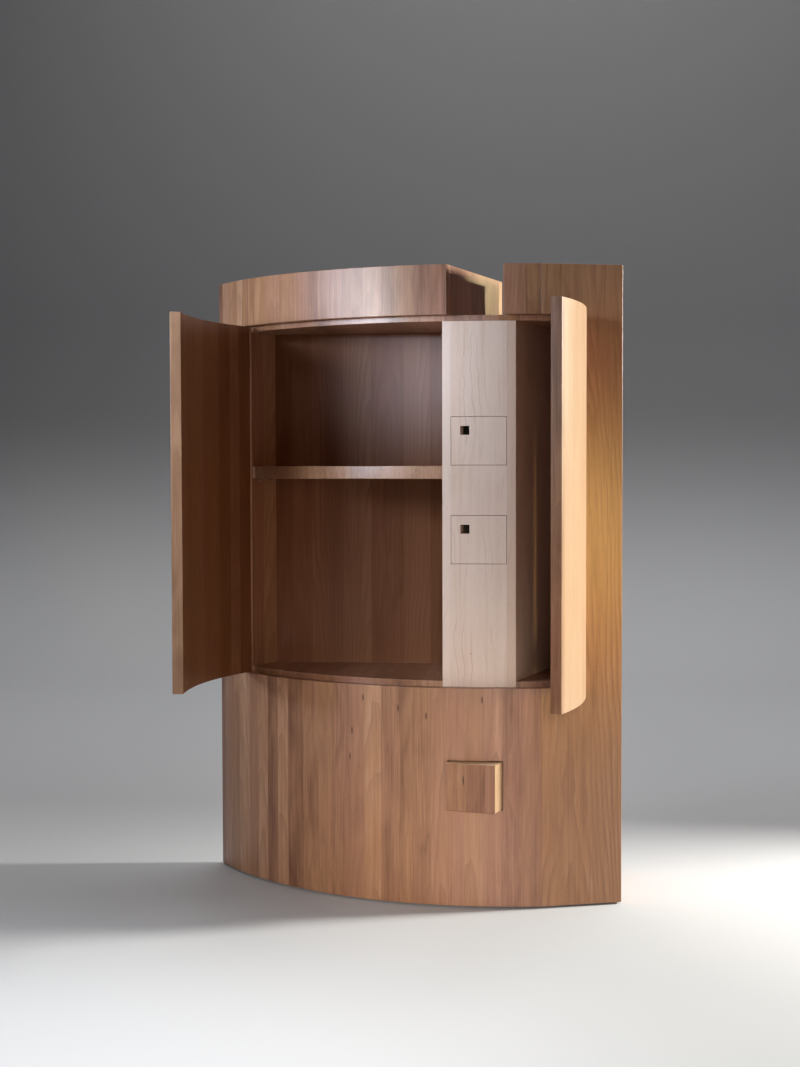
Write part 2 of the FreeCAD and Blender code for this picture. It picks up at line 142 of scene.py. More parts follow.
class CabinetSizes(bpy.types.PropertyGroup):
    """Lengths and turns that the finishes and the eased edges follow"""
    bow_radius: FloatProperty(
        name="Bow radius", description="Radius of the bowed front", default=0.510,
        unit="LENGTH", subtype="DISTANCE")
    bow_axis: FloatVectorProperty(
        name="Bow axis", description="Where the axis of the bow stands on the floor", size=2,
        default=(0.11402, 0.38045), unit="LENGTH", subtype="XYZ_LENGTH")
    shelf_radius: FloatProperty(
        name="Shelf radius", description="Radius of the shelf's front edge", default=0.4915,
        unit="LENGTH", subtype="DISTANCE")
    door_thickness: FloatProperty(
        name="Door thickness", description="Thickness of the bowed doors", default=0.016,
        unit="LENGTH", subtype="DISTANCE")
    door_edge: FloatProperty(
        name="Door edge", description="Where the left door's free edge lies along the bow", default=-0.1473,
        unit="LENGTH", subtype="DISTANCE")
    block_middle: FloatProperty(
        name="Block middle", description="Where the block's middle lies across the slanted column",
        default=0.1373, unit="LENGTH", subtype="DISTANCE")
    block_half_width: FloatProperty(
        name="Block half width", description="Half the width of the block drawer's front", default=0.039,
        unit="LENGTH", subtype="DISTANCE")
    flank_turn: FloatProperty(
        name="Flank turn", description="Turn of the flat flank from the back", default=math.radians(17.8),
        unit="ROTATION", subtype="ANGLE")
    slab_turn: FloatProperty(
        name="Column turn", description="Turn of the column, the channel and the drawers",
        default=math.radians(15.5), unit="ROTATION", subtype="ANGLE")
    lining_turn: FloatProperty(
        name="Lining turn", description="Turn of the left bay's lining from front to back",
        default=math.radians(27), unit="ROTATION", subtype="ANGLE")
    case_arris: FloatProperty(
        name="Case arris", description="Eased edge of the case boards", default=0.0006,
        unit="LENGTH", subtype="DISTANCE")
    door_arris: FloatProperty(
        name="Door arris", description="Eased edge of the doors and the shelf", default=0.0010,
        unit="LENGTH", subtype="DISTANCE")
    block_arris: FloatProperty(
        name="Block arris", description="Eased edge of the block drawer's front", default=0.0010,
        unit="LENGTH", subtype="DISTANCE")
    fine_arris: FloatProperty(
        name="Fine arris", description="Eased edge of the column, the flush fronts and the drawer boxes",
        default=0.0003, unit="LENGTH", subtype="DISTANCE")
    metal_arris: FloatProperty(
        name="Metal arris", description="Broken edge of the hinges", default=0.00018,
        unit="LENGTH", subtype="DISTANCE")
    hinge_height: FloatProperty(
        name="Hinge height", description="Height of one butt hinge", default=0.032,
        unit="LENGTH", subtype="DISTANCE")
    stave_width: FloatProperty(
        name="Stave width", description="Mean width of the glued staves", default=0.029,
        unit="LENGTH", subtype="DISTANCE")
    block_stave_width: FloatProperty(
        name="Block stave width", description="Mean width of the staves in the block", default=0.034,
        unit="LENGTH", subtype="DISTANCE")
    board_width: FloatProperty(
        name="Board width", description="Mean width of the boards inside", default=0.046,
        unit="LENGTH", subtype="DISTANCE")
    runner_width: FloatProperty(
        name="Runner width", description="Mean width of the boards that drawers run on", default=0.06,
        unit="LENGTH", subtype="DISTANCE")


class CabinetColours(bpy.types.PropertyGroup):
    """Colours of the woods, the metal and the studio"""
    pear_rosy: FloatVectorProperty(
        name="Rosy wood", description="Cooler staves of the case",
        default=(0.345, 0.160, 0.097), subtype="COLOR")
    pear_golden: FloatVectorProperty(
        name="Golden wood", description="Warmer staves of the case",
        default=(0.365, 0.179, 0.088), subtype="COLOR")
    pear_dark: FloatVectorProperty(
        name="Dark grain", description="Growth lines and dark streaks",
        default=(0.150, 0.060, 0.030), subtype="COLOR")
    pear_pale: FloatVectorProperty(
        name="Pale grain", description="Lightest streaks of the case",
        default=(0.480, 0.259, 0.155), subtype="COLOR")
    # Painted highlight: a paler colour laid on the doors' outer faces and on edges where the light falls strongly,
    # standing in for that light
    pear_sunned: FloatVectorProperty(
        name="Painted highlight", description="Painted highlight on the doors' outer faces and on edges that catch light",
        default=(0.450, 0.292, 0.168), subtype="COLOR")
    # Dark stain of the inner boards, which also serves as painted shade inside the bays and on the doors' hollow
    # sides
    pear_deep: FloatVectorProperty(
        name="Inner wood", description="Dark stain and painted shade of the boards inside",
        default=(0.130, 0.038, 0.008), subtype="COLOR")
    gum_mark: FloatVectorProperty(
        name="Gum mark", description="Short dark marks in the staves",
        default=(0.050, 0.018, 0.012), subtype="COLOR")
    maple_pale: FloatVectorProperty(
        name="Pale column wood", description="Lightest wood of the column",
        default=(0.645, 0.474, 0.378), subtype="COLOR")
    maple_warm: FloatVectorProperty(
        name="Warm column wood", description="Deeper wood of the column",
        default=(0.560, 0.382, 0.283), subtype="COLOR")
    maple_streak: FloatVectorProperty(
        name="Column streak", description="Pink-brown lines in the column",
        default=(0.380, 0.225, 0.170), subtype="COLOR")
    hinge_dark: FloatVectorProperty(
        name="Hinge patina", description="Dark metal of the hinges",
        default=(0.035, 0.027, 0.020), subtype="COLOR")
    hinge_worn: FloatVectorProperty(
        name="Hinge wear", description="Rubbed metal of the hinges",
        default=(0.200, 0.145, 0.085), subtype="COLOR")
    floor_pale: FloatVectorProperty(
        name="Floor", description="Pale studio floor", default=(0.613, 0.620, 0.644), subtype="COLOR")
    backdrop_grey: FloatVectorProperty(
        name="Backdrop", description="Grey studio backdrop", default=(0.190, 0.188, 0.196), subtype="COLOR")
    flag_black: FloatVectorProperty(
        name="Flag", description="Black cloth of the flag", default=(0.008, 0.008, 0.008), subtype="COLOR")
    flag_thread: FloatVectorProperty(
        name="Flag thread", description="Raised threads of the flag", default=(0.020, 0.020, 0.020),
        subtype="COLOR")
    room_tint: FloatVectorProperty(
        name="Room light", description="Tint of the even light", default=(0.70, 0.84, 1.0), subtype="COLOR")


class StudioSettings(bpy.types.PropertyGroup):
    """Camera and strength of the lights"""
    lens: FloatProperty(
        name="Lens", description="Focal length of the camera in millimetres", default=57.36, subtype="NONE")
    camera_place: FloatVectorProperty(
        name="Camera place", description="Where the camera stands", default=(0.2467, -2.6208, 0.6552),
        unit="LENGTH", subtype="XYZ_LENGTH")
    camera_turn: FloatProperty(
        name="Camera turn", description="Turn of the camera to the left", default=math.radians(5.73),
        unit="ROTATION", subtype="ANGLE")
    camera_tilt: FloatProperty(
        name="Camera tilt", description="Downward tilt of the camera", default=math.radians(2.281),
        unit="ROTATION", subtype="ANGLE")
    camera_roll: FloatProperty(
        name="Camera roll", description="Roll of the camera about its own view", default=math.radians(-0.144),
        unit="ROTATION", subtype="ANGLE")
    side_power: FloatProperty(
        name="Side light", description="Warm light from the right", default=125.0, unit="POWER")
    front_power: FloatProperty(
        name="Front light", description="Weak cool beam from the front left", default=39.0, unit="POWER")
    back_power: FloatProperty(
        name="Back light", description="Large soft light above the backdrop", default=76.0, unit="POWER")
    left_power: FloatProperty(
        name="Left light", description="Cool soft beam on the crown and the doors", default=195.0,
        unit="POWER")
    sheen_power: FloatProperty(
        name="Sheen light", description="Narrow cool beam on the back of the upper bay", default=150.0,
        unit="POWER")
    low_power: FloatProperty(
        name="Low light", description="Soft beam on the lower front", default=395.0, unit="POWER")
    flank_power: FloatProperty(
        name="Flank light", description="Warm beam on the middle of the flank", default=94.0, unit="POWER")
    rear_power: FloatProperty(
        name="Rear light", description="Warm beam through the channel in the crown", default=46.0,
        unit="POWER")
    door_power: FloatProperty(
        name="Door light", description="Weak warm beam on the inner side of the left door", default=22.0,
        unit="POWER")
    floor_power: FloatProperty(
        name="Floor light", description="Beam straight down on the floor in front", default=225.0,
        unit="POWER")
    room_level: FloatProperty(
        name="Room light", description="Even light from all round", default=0.05, min=0.0)
    backdrop_level: FloatProperty(
        name="Backdrop level", description="How bright the camera sees the room past the backdrop",
        default=0.8, min=0.0)


Place = namedtuple("Place", "across through along")


class Finish:
    """Adds shader nodes to one new material and joins them."""

    def __init__(self, name):
        self.material = bpy.data.materials.new(name)
        self.material.use_nodes = True
        self.tree = self.material.node_tree
        self.tree.nodes.clear()

    def node(self, kind, inputs, **settings):
        made = self.tree.nodes.new(kind)
        for setting, value in settings.items():
            setattr(made, setting, value)
        for socket, value in inputs.items():
            if isinstance(value, bpy.types.NodeSocket):
                self.tree.links.new(value, made.inputs[socket])
            else:
                made.inputs[socket].default_value = value
        return made

    def math(self, operation, first, second=0.0):
        return self.node("ShaderNodeMath", {0: first, 1: second}, operation=operation).outputs[0]

    def sum(self, first, second):
        return self.math("ADD", first, second)

    def times(self, first, second):
        return self.math("MULTIPLY", first, second)

    def squares(self, first, second):
        """The sum of two squares."""
        return self.sum(self.times(first, first), self.times(second, second))

    def swing(self, value, amount):
        """A value from 0 to 1 turned into one about zero."""
        return self.times(self.sum(value, -0.5), amount)

    def fade(self, value, low, high):
        """0 at low and 1 at high, with soft ends."""
        inputs = {"Value": value, "From Min": low, "From Max": high}
        return self.node("ShaderNodeMapRange", inputs, interpolation_type="SMOOTHSTEP").outputs[0]

    def skin(self, value, face, start, end):
        """0 deeper than start below a face and 1 from end below it; depths are negative on a lower face."""
        return self.fade(value, face - start, face - end)

    def scaled(self, value, low, high):
        return self.node("ShaderNodeMapRange", {"Value": value, "To Min": low, "To Max": high}).outputs[0]

    def mix(self, share, first, second):
        made = self.node("ShaderNodeMix", {0: share, 6: first, 7: second}, data_type="RGBA")
        return made.outputs[2]

    def layers(self, base, coats):
        """A base colour under coats, each given as its mask, the strength of the mask and a colour."""
        for mask, strength, colour in coats:
            base = self.mix(self.times(mask, strength), base, solid(colour))
        return base

    def place(self, spot=(0.0, 0.0), turn=0.0, flip=1.0):
        """Object coordinates about an upright axis, turned with the piece, as three numbers."""
        inputs = {
            "Vector": self.node("ShaderNodeTexCoord", {}).outputs["Object"],
            "Location": (*spot, 0.0),
            "Rotation": (0.0, 0.0, turn),
            "Scale": (1.0, flip, 1.0),
        }
        mapped = self.node("ShaderNodeMapping", inputs, vector_type="TEXTURE").outputs[0]
        return self.node("ShaderNodeSeparateXYZ", {0: mapped}).outputs

    def joined(self, across, through, along):
        return self.node("ShaderNodeCombineXYZ", {0: across, 1: through, 2: along}).outputs[0]

    def shuffled(self, place, chances, apart):
        """Grain coordinates moved apart by chance, so that no two boards share a figure."""
        moves = zip(place, chances, apart)
        moved = [self.sum(axis, self.times(chance, step)) for axis, chance, step in moves]
        return self.joined(*moved)

    def cloud(self, grain, across, along, detail=2.0, drift=0.0):
        """Noise in the grain, with so many spots to the metre across and along it."""
        inputs = {0: grain, 1: (across, across, along)}
        spread = self.node("ShaderNodeVectorMath", inputs, operation="MULTIPLY").outputs[0]
        inputs = {"Vector": spread, "Scale": 1.0, "Detail": detail, "Distortion": drift}
        return self.node("ShaderNodeTexNoise", inputs).outputs[0]

    def boards(self, across, joints, seed):
        """Three chance numbers of the board that a spot lies on, the place within it and its joint."""
        count = len(joints) - 1
        reach = joints[-1] - joints[0]
        inputs = {"Value": across, "From Min": joints[0], "From Max": joints[-1]}
        share = self.node("ShaderNodeMapRange", inputs).outputs[0]
        counter = self.node("ShaderNodeFloatCurve", {"Value": share})
        points = counter.mapping.curves[0].points
        for number, joint in enumerate(joints[1:-1], 1):
            points.new((joint - joints[0]) / reach, number / count)
        for point in points:
            point.handle_type = "VECTOR"
        counter.mapping.update()
        number = self.times(counter.outputs[0], count)
        whole = self.math("FLOOR", number)
        part = self.math("SUBTRACT", number, whole)
        inputs = {"W": self.sum(whole, seed)}
        chance = self.node("ShaderNodeTexWhiteNoise", inputs, noise_dimensions="1D").outputs["Color"]
        chances = self.node("ShaderNodeSeparateColor", {0: chance}).outputs
        edge = self.math("MINIMUM", part, self.math("SUBTRACT", 1.0, part))
        joint = self.math("SUBTRACT", 1.0, self.fade(edge, 0.0, GLUE_LINE))
        return chances[0], chances[1], chances[2], part, joint

    def marks(self, place, spots):
        """Short dark marks that fade out to their half width and half height."""
        shade = None
        for spot in spots:
            wide = self.times(self.sum(place.across, -spot.across), 1 / spot.half_width)
            high = self.times(self.sum(place.along, -spot.along), 1 / spot.half_height)
            mark = self.math("SUBTRACT", 1.0, self.fade(self.squares(wide, high), 0.1, 1.0))
            shade = mark if shade is None else self.math("MAXIMUM", shade, mark)
        return shade

    def surface(self, colour, roughness, height, depth, **constants):
        inputs = {"Height": height, "Distance": depth, "Strength": BUMP_STRENGTH}
        bump = self.node("ShaderNodeBump", inputs).outputs[0]
        inputs = {"Base Color": colour, "Roughness": roughness, "Normal": bump}
        shader = self.node("ShaderNodeBsdfPrincipled", inputs | constants)
        self.node("ShaderNodeOutputMaterial", {"Surface": shader.outputs[0]})
        return self.material


def solid(colour):
    return (*colour, 1.0)


def on_bow(spot, turn=0.0):
    """Grain space of a bowed board: along the arc, out from the bow's axis and up."""
    def space(finish):
        x, y, z = finish.place(spot, turn, -1.0)
        radius = bpy.context.scene.cabinet_sizes.bow_radius
        across = finish.times(finish.math("ARCTAN2", x, y), radius)
        return Place(across, finish.math("SQRT", finish.squares(x, y)), z)
    return space


def on_board(turn, order, depth=1.0):
    """Grain space of a flat board; order names the axes across, through and along the grain.

    depth below 1 draws the figure out through the board, so that its end grain stays calm.
    """
    def space(finish):
        axes = finish.place((0.0, 0.0), turn)
        across, through, along = (axes["xyz".index(letter)] for letter in order)
        return Place(across, finish.times(through, depth), along)
    return space


def door_space(joint_name):
    """Grain space of a door that stands open at rest, about its own turned bow axis."""
    joint = JOINTS[joint_name]
    turn = math.radians(-joint["range_deg"][0] * joint["axis"][2])
    pin = Vector(joint["pos_m"][:2])
    arm = Vector(bpy.context.scene.cabinet_sizes.bow_axis) - pin
    arm.rotate(Matrix.Rotation(turn, 2))
    return on_bow(tuple(pin + arm), turn)


def glued(reach, width, seed):
    """Joints between boards of slightly differing width, over a reach from start to end."""
    chance = random.Random(seed)
    start, end = reach
    joints = [start]
    while joints[-1] < end:
        joints.append(joints[-1] + width * chance.uniform(*WIDTH_SPREAD))
    return joints


def round_bow(angles):
    """Lengths along the bow for angles in degrees about its axis."""
    radius = bpy.context.scene.cabinet_sizes.bow_radius
    return [math.radians(angle) * radius for angle in angles]


def growth_lines(finish, beside, along, tone, hue, sway, mottle):
    """Dark lines where growth rings about a heart, which leans along the board, reach the surface."""
    heart_depth = finish.scaled(hue, 0.015, 0.080)
    lean = finish.scaled(tone, 0.004, 0.050)
    below = finish.sum(heart_depth, finish.times(along, lean))
    rings = finish.sum(finish.math("SQRT", finish.squares(beside, below)), finish.times(sway, 0.016))
    growth = finish.fade(finish.math("FRACT", finish.times(rings, RINGS_PER_METRE)), 0.30, 1.0)
    return finish.times(growth, finish.fade(mottle, 0.30, 0.62))


def pear(
        name, space, joints, seed, spots=(), heart=None, figure=0.30, contrast=0.80, stain_and_shade=0.0, highlight_rule=None,
        gold=0.0, gloss=0.5):
    """Oiled fruit wood: boards of differing tone, growth lines, fibres, pores and dark marks.

    heart is how far beside the board's middle its growth rings are centred, and a chance for each board if
    left out. figure is the strength of the growth lines and contrast how far the boards differ. deep is the
    share of dark colour or a rule for it, a stain that inside the case also serves as painted shade; gold is
    a lean towards the golden tone, and pale a rule for where a painted highlight lightens the wood. gloss is
    how much light the oil throws back, 0.5 for plain oiled wood.
    """
    colours = bpy.context.scene.cabinet_colours
    finish = Finish(name)
    place = space(finish)
    tone, shift, hue, part, joint = finish.boards(place.across, joints, seed)
    grain = finish.shuffled(place, (shift, hue, tone), PEAR_APART)
    mottle = finish.cloud(grain, across=34.0, along=8.0, detail=3.0, drift=0.8)
    lines = finish.cloud(grain, across=75.0, along=1.0, detail=4.0, drift=0.25)
    streak = finish.fade(finish.cloud(grain, across=310.0, along=2.6, drift=0.2), 0.53, 0.68)
    fibre = finish.cloud(grain, across=620.0, along=9.0)
    pore = finish.fade(finish.cloud(grain, across=1300.0, along=42.0, detail=1.0), 0.62, 0.74)
    glint = finish.fade(finish.cloud(grain, across=190.0, along=80.0, drift=2.0), 0.66, 0.80)
    sway = finish.cloud(grain, across=18.0, along=3.5, detail=3.0)
    blush = finish.cloud(grain, across=12.0, along=2.0)

    width = (joints[-1] - joints[0]) / (len(joints) - 1)
    beside = finish.times(finish.sum(part, -0.5), width)
    beside = finish.sum(beside, finish.swing(shift, 0.08) if heart is None else heart)
    growth = growth_lines(finish, beside, place.along, tone, hue, sway, mottle)

    light = finish.swing(tone, contrast)
    for cloud, amount in ((mottle, 1.25), (lines, 0.60), (fibre, 0.80)):
        light = finish.sum(light, finish.swing(cloud, amount))
    warmth = finish.sum(finish.sum(hue, finish.swing(blush, 1.2)), gold)
    wood = finish.mix(finish.fade(warmth, 0.0, 1.0), solid(colours.pear_rosy), solid(colours.pear_golden))
    wood = finish.layers(wood, (
        (finish.fade(light, 0.10, -0.85), 1.0, colours.pear_dark),
        (finish.fade(light, -0.05, 0.80), 1.0, colours.pear_pale),
        (growth, figure, colours.pear_dark),
        (streak, 0.22, colours.pear_dark),
        (glint, 0.30, colours.pear_pale),
        (pore, 0.34, colours.pear_dark),
        (joint, 0.20, colours.pear_dark)))
    # Dark colour as stain and, on inner boards and the doors' hollow sides, as painted shade
    if stain_and_shade:
        share = stain_and_shade(finish, place) if callable(stain_and_shade) else stain_and_shade
        wood = finish.mix(share, wood, solid(colours.pear_deep))
    # Painted highlight where the rule says the light falls strongly
    if highlight_rule:
        strength = finish.scaled(finish.sum(light, 0.5), 0.35, 1.0)
        wood = finish.layers(wood, [(highlight_rule(finish, place), strength, colours.pear_sunned)])
    if spots:
        wood = finish.layers(wood, [(finish.marks(place, spots), 0.95, colours.gum_mark)])
    roughness = finish.scaled(finish.sum(finish.times(fibre, 0.6), finish.times(pore, 0.4)), 0.30, 0.50)
    height = finish.sum(finish.times(fibre, 0.5), finish.times(finish.sum(pore, joint), -0.5))
    oiled = {"IOR": 1.46, "Specular IOR Level": gloss, "Coat Weight": 0.24 * gloss, "Coat Roughness": 0.24}
    return finish.surface(wood, roughness, height, 0.00010, **oiled)


def maple(name, space, joints, seed, spots=(), streaks=0.42, lift=0.0):
    """Pale close-grained wood with wavy pink-brown lines.

    streaks is the strength of the lines, and lift makes the whole board paler or, below zero, deeper.
    """
    colours = bpy.context.scene.cabinet_colours
    finish = Finish(name)
    place = space(finish)
    tone, shift, hue, _, joint = finish.boards(place.across, joints, seed)
    grain = finish.shuffled(place, (shift, hue, tone), MAPLE_APART)
    mottle = finish.cloud(grain, across=26.0, along=9.0, detail=3.0, drift=0.5)
    lines = finish.cloud(grain, across=170.0, along=3.0, detail=3.0, drift=0.3)
    fibre = finish.cloud(grain, across=700.0, along=12.0)
    fleck = finish.fade(finish.cloud(grain, across=900.0, along=110.0, detail=1.0), 0.60, 0.74)
    sway = finish.cloud(grain, across=16.0, along=8.0, detail=4.0)
    here = finish.fade(finish.cloud(grain, across=40.0, along=9.0), 0.44, 0.66)
    wavy = finish.sum(finish.times(place.across, LINES_PER_METRE), finish.times(sway, 3.4))
    wave = finish.math("FRACT", wavy)
    streak = finish.times(finish.fade(wave, 0.74, 0.93), finish.fade(wave, 1.0, 0.94))

    light = finish.swing(tone, 0.45)
    for cloud, amount in ((mottle, 1.0), (fibre, 0.45), (lines, 1.3)):
        light = finish.sum(light, finish.swing(cloud, amount))
    light = finish.sum(light, lift)
    wood = finish.mix(finish.fade(light, -0.5, 0.5), solid(colours.maple_warm), solid(colours.maple_pale))
    wood = finish.layers(wood, (
        (finish.times(streak, here), streaks, colours.maple_streak),
        (fleck, 0.20, colours.maple_streak),
        (joint, 0.35, colours.maple_streak)))
    if spots:
        wood = finish.layers(wood, [(finish.marks(place, spots), 0.8, colours.gum_mark)])
    roughness = finish.scaled(fibre, 0.40, 0.56)
    height = finish.sum(finish.times(fibre, 0.5), finish.times(finish.sum(fleck, joint), -0.4))
    return finish.surface(wood, roughness, height, 0.00008, IOR=1.45)


def patina(name, seed):
    """Dark metal, rubbed brighter here and there."""
    colours = bpy.context.scene.cabinet_colours
    finish = Finish(name)
    x, y, z = finish.place()
    spread = finish.joined(finish.sum(x, seed), y, z)
    wear = finish.fade(finish.cloud(spread, across=170.0, along=120.0, detail=3.0), 0.48, 0.78)
    grit = finish.cloud(spread, across=1900.0, along=1900.0)
    metal = finish.mix(wear, solid(colours.hinge_dark), solid(colours.hinge_worn))
    roughness = finish.scaled(finish.sum(finish.times(grit, 0.6), finish.times(wear, -0.3)), 0.30, 0.62)
    return finish.surface(metal, roughness, grit, 0.00004, Metallic=1.0)


def hinge_zones(leaves):
    """Boxes about the lower and the upper hinge that a node of leaves holds."""
    low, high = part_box(leaves)
    tall = bpy.context.scene.cabinet_sizes.hinge_height
    lower = (low - HINGE_ROOM, Vector((high.x, high.y, low.z + tall)) + HINGE_ROOM)
    upper = (Vector((low.x, low.y, high.z - tall)) - HINGE_ROOM, high + HINGE_ROOM)
    return [lower, upper]


def in_zone(spot, zones):
    return any(
        low.x < spot.x < high.x and low.y < spot.y < high.y and low.z < spot.z < high.z
        for low, high in zones)


def edges_to_ease(shape, zones):
    """Sharp edges of a closed shape that lie clear of the hinges."""
    return [
        edge for edge in shape.edges
        if len(edge.link_faces) == 2
        and edge.calc_face_angle() > SHARP_EDGE
        and not any(in_zone(vert.co, zones) for vert in edge.verts)
        and not in_zone((edge.verts[0].co + edge.verts[1].co) / 2, zones)
    ]


def eased(node, arris, material, leaves=None):
    """A board with its edges lightly rounded, which takes the place of the plain one.

    leaves names the hinge leaves let into the board; edges close to them stay crisp.
    """
    zones = hinge_zones(leaves) if leaves else []
    mesh = bpy.data.meshes.new(node + "_eased")
    shape = bmesh.new()
    shape.from_mesh(frame["nodes"][node].data)
    bmesh.ops.remove_doubles(shape, verts=shape.verts, dist=SAME_SPOT)
    bmesh.ops.dissolve_limit(shape, angle_limit=STILL_FLAT, verts=shape.verts, edges=shape.edges)
    for low, high in zones:
        for level in (low.z, high.z):
            parts = shape.verts[:] + shape.edges[:] + shape.faces[:]
            bmesh.ops.bisect_plane(shape, geom=parts, plane_co=(0, 0, level), plane_no=(0, 0, 1))
    bmesh.ops.bevel(
        shape, geom=edges_to_ease(shape, zones), offset=arris, offset_type="OFFSET", segments=2, profile=0.5,
        affect="EDGES", material=-1, clamp_overlap=True)
    bmesh.ops.dissolve_degenerate(shape, dist=TINY_EDGE, edges=shape.edges)
    for face in shape.faces:
        face.smooth = True
    shape.to_mesh(mesh)
    shape.free()
    piece = bpy.data.objects.new(node + "_eased", mesh)
    bpy.context.scene.collection.objects.link(piece)
    mesh.materials.append(material)
    mesh.set_sharp_from_angle(angle=SHARP_SHADE)
    level = piece.modifiers.new("Even shading", "WEIGHTED_NORMAL")
    level.keep_sharp = True
    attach(piece, BODIES[node])
    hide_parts(node)


class CABINET_OT_case(bpy.types.Operator):
    """Bowed front, crown, post, flank and side of the case"""
    bl_idname = "cabinet.case"
    bl_label = "Case"

    def execute(self, context):
        sizes = context.scene.cabinet_sizes
        arris = sizes.case_arris
        bow = on_bow(tuple(sizes.bow_axis))
        lower = round_bow(LOWER_JOINTS)
        angles, heights = zip(*LOWER_FLECKS)
        flecks = [
            Mark(across, height, FLECK_HALF_WIDTH, FLECK_HALF_HEIGHT)
            for across, height in zip(round_bow(angles), heights)
        ]
        front = pear("pear_lower_staves", bow, lower, 11.0, flecks)
        top = pear("pear_crown_staves", bow, round_bow(CROWN_JOINTS), 23.0, gloss=0.32)
        post = pear("pear_post_staves", bow, lower, 11.0)
        flank = pear(
            "pear_flank_board", on_board(-sizes.flank_turn, "xyz"), ONE_BOARD, 5.0,
            heart=-0.265, figure=0.42, contrast=0.0, gold=0.45)
        side = pear("pear_side_board", on_board(0.0, "yxz"), SIDE_JOINTS, 8.0)
        staves = glued(CASE_REACH, sizes.stave_width, 4)
        cheek = pear("pear_cheek_boards", on_board(sizes.slab_turn, "yxz"), staves, 31.0)
        back = pear("pear_crown_back", on_board(0.0, "xyz"), glued(CASE_REACH, sizes.board_width, 6), 37.0)
        cap = pear("pear_cap_boards", on_board(0.0, "xzy"), glued(CASE_REACH, sizes.board_width, 9), 41.0)
        eased("lower_front", arris, front)
        eased("left_post", arris, post, "left_hinge_frame_leaves")
        for hand in ("left", "right"):
            eased("crown_fascia_" + hand, arris, top)
        eased("right_flank", arris, flank, "right_hinge_frame_leaves")
        eased("right_side", arris, side)
        for board, material in (("crown_cheek_", cheek), ("crown_back_", back), ("crown_cap_", cap)):
            for hand in ("left", "right"):
                eased(board + hand, arris, material)
        return {"FINISHED"}


class CABINET_OT_inside(bpy.types.Operator):
    """Floor, top, base, shelf, lining and back of the case"""
    bl_idname = "cabinet.inside"
    bl_label = "Inside"

    def execute(self, context):
        sizes = context.scene.cabinet_sizes
        level = on_board(0.0, "xzy", CALM_END_GRAIN)
        # Floor, top and base boards take a little of the dark colour, as stain and painted shade
        flat = pear("pear_flat_boards", level, glued(CASE_REACH, sizes.stave_width, 12), 47.0, stain_and_shade=0.15)
        # The shelf's front edge gets a little painted highlight
        shelf = pear(
            "pear_shelf_boards", level, glued(CASE_REACH, sizes.stave_width, 15), 53.0,
            contrast=0.35, highlight_rule=self.front_edge)
        # The lining and, most of all, the back panel take the dark colour as painted shade of the bays
        lining = pear(
            "pear_lining_boards", on_board(sizes.lining_turn, "yxz"),
            glued(LONG_REACH, sizes.board_width, 18), 59.0, stain_and_shade=0.35, gloss=0.25)
        back = pear(
            "pear_back_boards", on_board(0.0, "xyz"), glued(CASE_REACH, sizes.board_width, 6), 37.0,
            figure=0.55, contrast=1.3, stain_and_shade=0.70, gloss=0.2)
        pins = pear("pear_shelf_pins", on_board(0.0, "zyx"), ONE_BOARD, 61.0)
        for node in ("floor_panel", "top_panel", "base_panel"):
            eased(node, sizes.case_arris, flat)
        eased("shelf", sizes.door_arris, shelf)
        eased("left_lining", sizes.fine_arris, lining)
        eased("back_panel", sizes.case_arris, back)
        eased("shelf_pins", sizes.fine_arris, pins)
        return {"FINISHED"}

    def front_edge(self, finish, place):
        """A little painted highlight on the bowed front edge of the shelf."""
        sizes = bpy.context.scene.cabinet_sizes
        x, y, _ = finish.place(tuple(sizes.bow_axis))
        radius = finish.math("SQRT", finish.squares(x, y))
        return finish.times(finish.skin(radius, sizes.shelf_radius, 0.0008, 0.0002), 0.20)


class CABINET_OT_column(bpy.types.Operator):
    """Pale column with its two flush drawer fronts"""
    bl_idname = "cabinet.column"
    bl_label = "Column"

    def execute(self, context):
        sizes = context.scene.cabinet_sizes
        slab = on_board(-sizes.slab_turn, "xyz")
        face = maple("maple_column_face", slab, ONE_BOARD, 3.0, [COLUMN_KNOT])
        left = maple("maple_column_left", slab, ONE_BOARD, 6.0, streaks=0.2, lift=0.5)
        # The right side is made deeper as painted shade, for the shade it stands in beside the right door
        right = maple("maple_column_right", slab, ONE_BOARD, 7.0, streaks=0.4, lift=-0.5)
        for node in ("column_panel_top", "column_panel_middle", "column_panel_bottom", "upper_drawer_front",
                     "middle_drawer_front"):
            eased(node, sizes.fine_arris, face)
        eased("column_side_left", sizes.fine_arris, left)
        eased("column_side_right", sizes.fine_arris, right)
        return {"FINISHED"}


class CABINET_OT_doors(bpy.types.Operator):
    """Two coopered doors that stand open"""
    bl_idname = "cabinet.doors"
    bl_label = "Doors"

    def execute(self, context):
        sizes = context.scene.cabinet_sizes
        for side, seed, door_highlight in (("left", 67.0, self.face_and_edge), ("right", 71.0, self.face)):
            # Painted shade on each door's hollow side, and a painted highlight on its outer face and on the left
            # door's free edge
            staves = pear(
                "pear_" + side + "_door_staves", door_space(side + "_door_hinge"),
                glued(DOOR_REACH, sizes.stave_width, seed), seed, contrast=1.15, stain_and_shade=self.inner_side,
                highlight_rule=door_highlight, gloss=0.25)
            eased(side + "_door", sizes.door_arris, staves, side + "_hinge_door_leaves")
        return {"FINISHED"}

    def inner_side(self, finish, place):
        """Painted shade on the hollow side of a door, which faces the bay."""
        sizes = bpy.context.scene.cabinet_sizes
        hollow = sizes.bow_radius - sizes.door_thickness
        return finish.times(finish.skin(place.through, hollow, -0.0012, -0.0004), 0.72)

    def face(self, finish, place):
        """Painted highlight on the bowed outer face of a door."""
        return finish.skin(place.through, bpy.context.scene.cabinet_sizes.bow_radius, 0.0012, 0.0003)

    def face_and_edge(self, finish, place):
        """Painted highlight on the outer face and, a little less, on the free edge of the left door."""
        end = bpy.context.scene.cabinet_sizes.door_edge
        edge = finish.times(finish.skin(place.across, end, 0.0008, 0.0002), 0.80)
        return finish.math("MAXIMUM", self.face(finish, place), edge)


